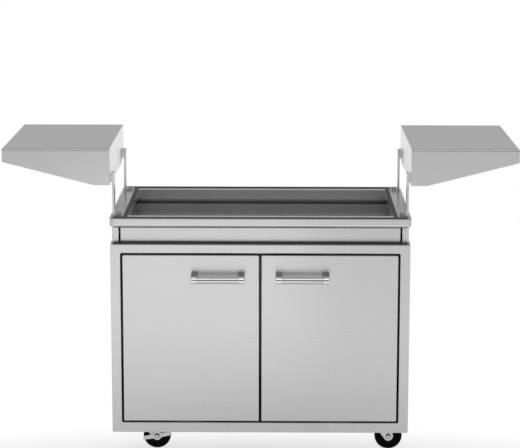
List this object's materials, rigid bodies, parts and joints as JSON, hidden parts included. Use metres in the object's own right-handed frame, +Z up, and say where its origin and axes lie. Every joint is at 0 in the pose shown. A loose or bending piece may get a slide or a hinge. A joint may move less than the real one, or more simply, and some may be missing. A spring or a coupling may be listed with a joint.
{
  "type": "grill base",
  "caption": "Stainless grill base cabinet with doors, a pull-out drip tray, a rim that carries a grill, fold-down side shelves and swivel casters, some with brakes.",
  "frame": {"origin": "on the ground under the middle of the whole object", "axes": "+Z up, the doors face -Y, +X to the right as seen from the front"},
  "size_m": [1.506, 0.6154, 0.918],
  "materials": {
    "brushed_stainless": "brushed stainless sheet",
    "inner_stainless": "plain mill-finish sheet",
    "polished_stainless": "polished bar",
    "zinc_plate": "bright zinc plating on pressed steel",
    "black_zinc": "black zinc plating on turned steel",
    "black_rubber": "black seal rubber",
    "wheel_rubber": "moulded black wheel",
    "black_plastic": "moulded black nylon"
  },
  "bodies": {
    "cabinet": {"face_frame": "brushed_stainless", "catch_rail": "brushed_stainless", "left_side_panel": "brushed_stainless", "right_side_panel": "brushed_stainless", "back_panel": "brushed_stainless", "floor_pan": "inner_stainless", "top_frame": "inner_stainless", "ledge_seal": "black_rubber", "cylinder_ring": "inner_stainless", "left_neck_side": "brushed_stainless", "right_neck_side": "brushed_stainless", "neck_back": "brushed_stainless", "rim": "brushed_stainless", "grill_seal": "black_rubber", "left_tray_runner": "inner_stainless", "right_tray_runner": "inner_stainless", "hinge_bushes": "black_plastic", "door_catches": "black_plastic", "left_uprights": "brushed_stainless", "right_uprights": "brushed_stainless", "pivot_rods": "zinc_plate", "upright_bolts": "zinc_plate", "caster_plates": "zinc_plate", "caster_bolts": "zinc_plate"},
    "drip_tray": {"tray_front": "brushed_stainless", "tray_pan": "inner_stainless"},
    "left_door": {"left_door_skin": "brushed_stainless", "left_door_liner": "inner_stainless", "left_handle_bar": "polished_stainless", "left_handle_posts": "polished_stainless", "left_handle_screws": "zinc_plate", "left_hinge_pins": "black_zinc", "left_striker": "zinc_plate"},
    "left_shelf": {"left_shelf_top": "brushed_stainless", "left_shelf_root": "brushed_stainless", "left_shelf_brace": "inner_stainless"},
    "right_door": {"right_door_skin": "brushed_stainless", "right_door_liner": "inner_stainless", "right_handle_bar": "polished_stainless", "right_handle_posts": "polished_stainless", "right_handle_screws": "zinc_plate", "right_hinge_pins": "black_zinc", "right_striker": "zinc_plate"},
    "right_shelf": {"right_shelf_top": "brushed_stainless", "right_shelf_root": "brushed_stainless", "right_shelf_brace": "inner_stainless"},
    "front_left_swivel": {"front_left_fork": "zinc_plate", "front_left_axle": "zinc_plate"},
    "front_left_roller": {"front_left_wheel": "wheel_rubber"},
    "front_left_pedal": {"front_left_brake": "zinc_plate"},
    "front_right_swivel": {"front_right_fork": "zinc_plate", "front_right_axle": "zinc_plate"},
    "front_right_roller": {"front_right_wheel": "wheel_rubber"},
    "rear_left_swivel": {"rear_left_fork": "zinc_plate", "rear_left_axle": "zinc_plate"},
    "rear_left_roller": {"rear_left_wheel": "wheel_rubber"},
    "rear_right_swivel": {"rear_right_fork": "zinc_plate", "rear_right_axle": "zinc_plate"},
    "rear_right_roller": {"rear_right_wheel": "wheel_rubber"},
    "rear_right_pedal": {"rear_right_brake": "zinc_plate"}
  },
  "joints": [
    {"name": "tray_slide", "type": "slide", "parent": "cabinet", "child": "drip_tray", "axis": [0, -1, 0], "range_m": [0, 0.36]},
    {"name": "left_door_hinge", "type": "hinge", "parent": "cabinet", "child": "left_door", "pos_m": [-0.3953, -0.24225, 0.356], "axis": [0, 0, -1], "range_deg": [0, 105]},
    {"name": "left_shelf_fold", "type": "hinge", "parent": "cabinet", "child": "left_shelf", "pos_m": [-0.463, 0.02775, 0.83], "axis": [0, -1, 0], "range_deg": [0, 90]},
    {"name": "right_door_hinge", "type": "hinge", "parent": "cabinet", "child": "right_door", "pos_m": [0.3953, -0.24225, 0.356], "axis": [0, 0, 1], "range_deg": [0, 105]},
    {"name": "right_shelf_fold", "type": "hinge", "parent": "cabinet", "child": "right_shelf", "pos_m": [0.463, 0.02775, 0.83], "axis": [0, 1, 0], "range_deg": [0, 90]},
    {"name": "front_left_turn", "type": "hinge", "parent": "cabinet", "child": "front_left_swivel", "pos_m": [-0.347, -0.16825, 0.086], "axis": [0, 0, 1], "continuous": true},
    {"name": "front_left_roll", "type": "hinge", "parent": "front_left_swivel", "child": "front_left_roller", "pos_m": [-0.3098, -0.16825, 0.041], "axis": [0, 1, 0], "continuous": true},
    {"name": "front_left_brake_press", "type": "hinge", "parent": "front_left_swivel", "child": "front_left_pedal", "pos_m": [-0.3098, -0.16825, 0.041], "axis": [0, 1, 0], "range_deg": [0, 20]},
    {"name": "front_right_turn", "type": "hinge", "parent": "cabinet", "child": "front_right_swivel", "pos_m": [0.347, -0.16825, 0.086], "axis": [0, 0, 1], "continuous": true},
    {"name": "front_right_roll", "type": "hinge", "parent": "front_right_swivel", "child": "front_right_roller", "pos_m": [0.3842, -0.16825, 0.041], "axis": [0, 1, 0], "continuous": true},
    {"name": "rear_left_turn", "type": "hinge", "parent": "cabinet", "child": "rear_left_swivel", "pos_m": [-0.347, 0.22375, 0.086], "axis": [0, 0, 1], "continuous": true},
    {"name": "rear_left_roll", "type": "hinge", "parent": "rear_left_swivel", "child": "rear_left_roller", "pos_m": [-0.3098, 0.22375, 0.041], "axis": [0, 1, 0], "continuous": true},
    {"name": "rear_right_turn", "type": "hinge", "parent": "cabinet", "child": "rear_right_swivel", "pos_m": [0.347, 0.22375, 0.086], "axis": [0, 0, 1], "continuous": true},
    {"name": "rear_right_roll", "type": "hinge", "parent": "rear_right_swivel", "child": "rear_right_roller", "pos_m": [0.3842, 0.22375, 0.041], "axis": [0, 1, 0], "continuous": true},
    {"name": "rear_right_brake_press", "type": "hinge", "parent": "rear_right_swivel", "child": "rear_right_pedal", "pos_m": [0.3842, 0.22375, 0.041], "axis": [0, 1, 0], "range_deg": [0, 20]}
  ]
}
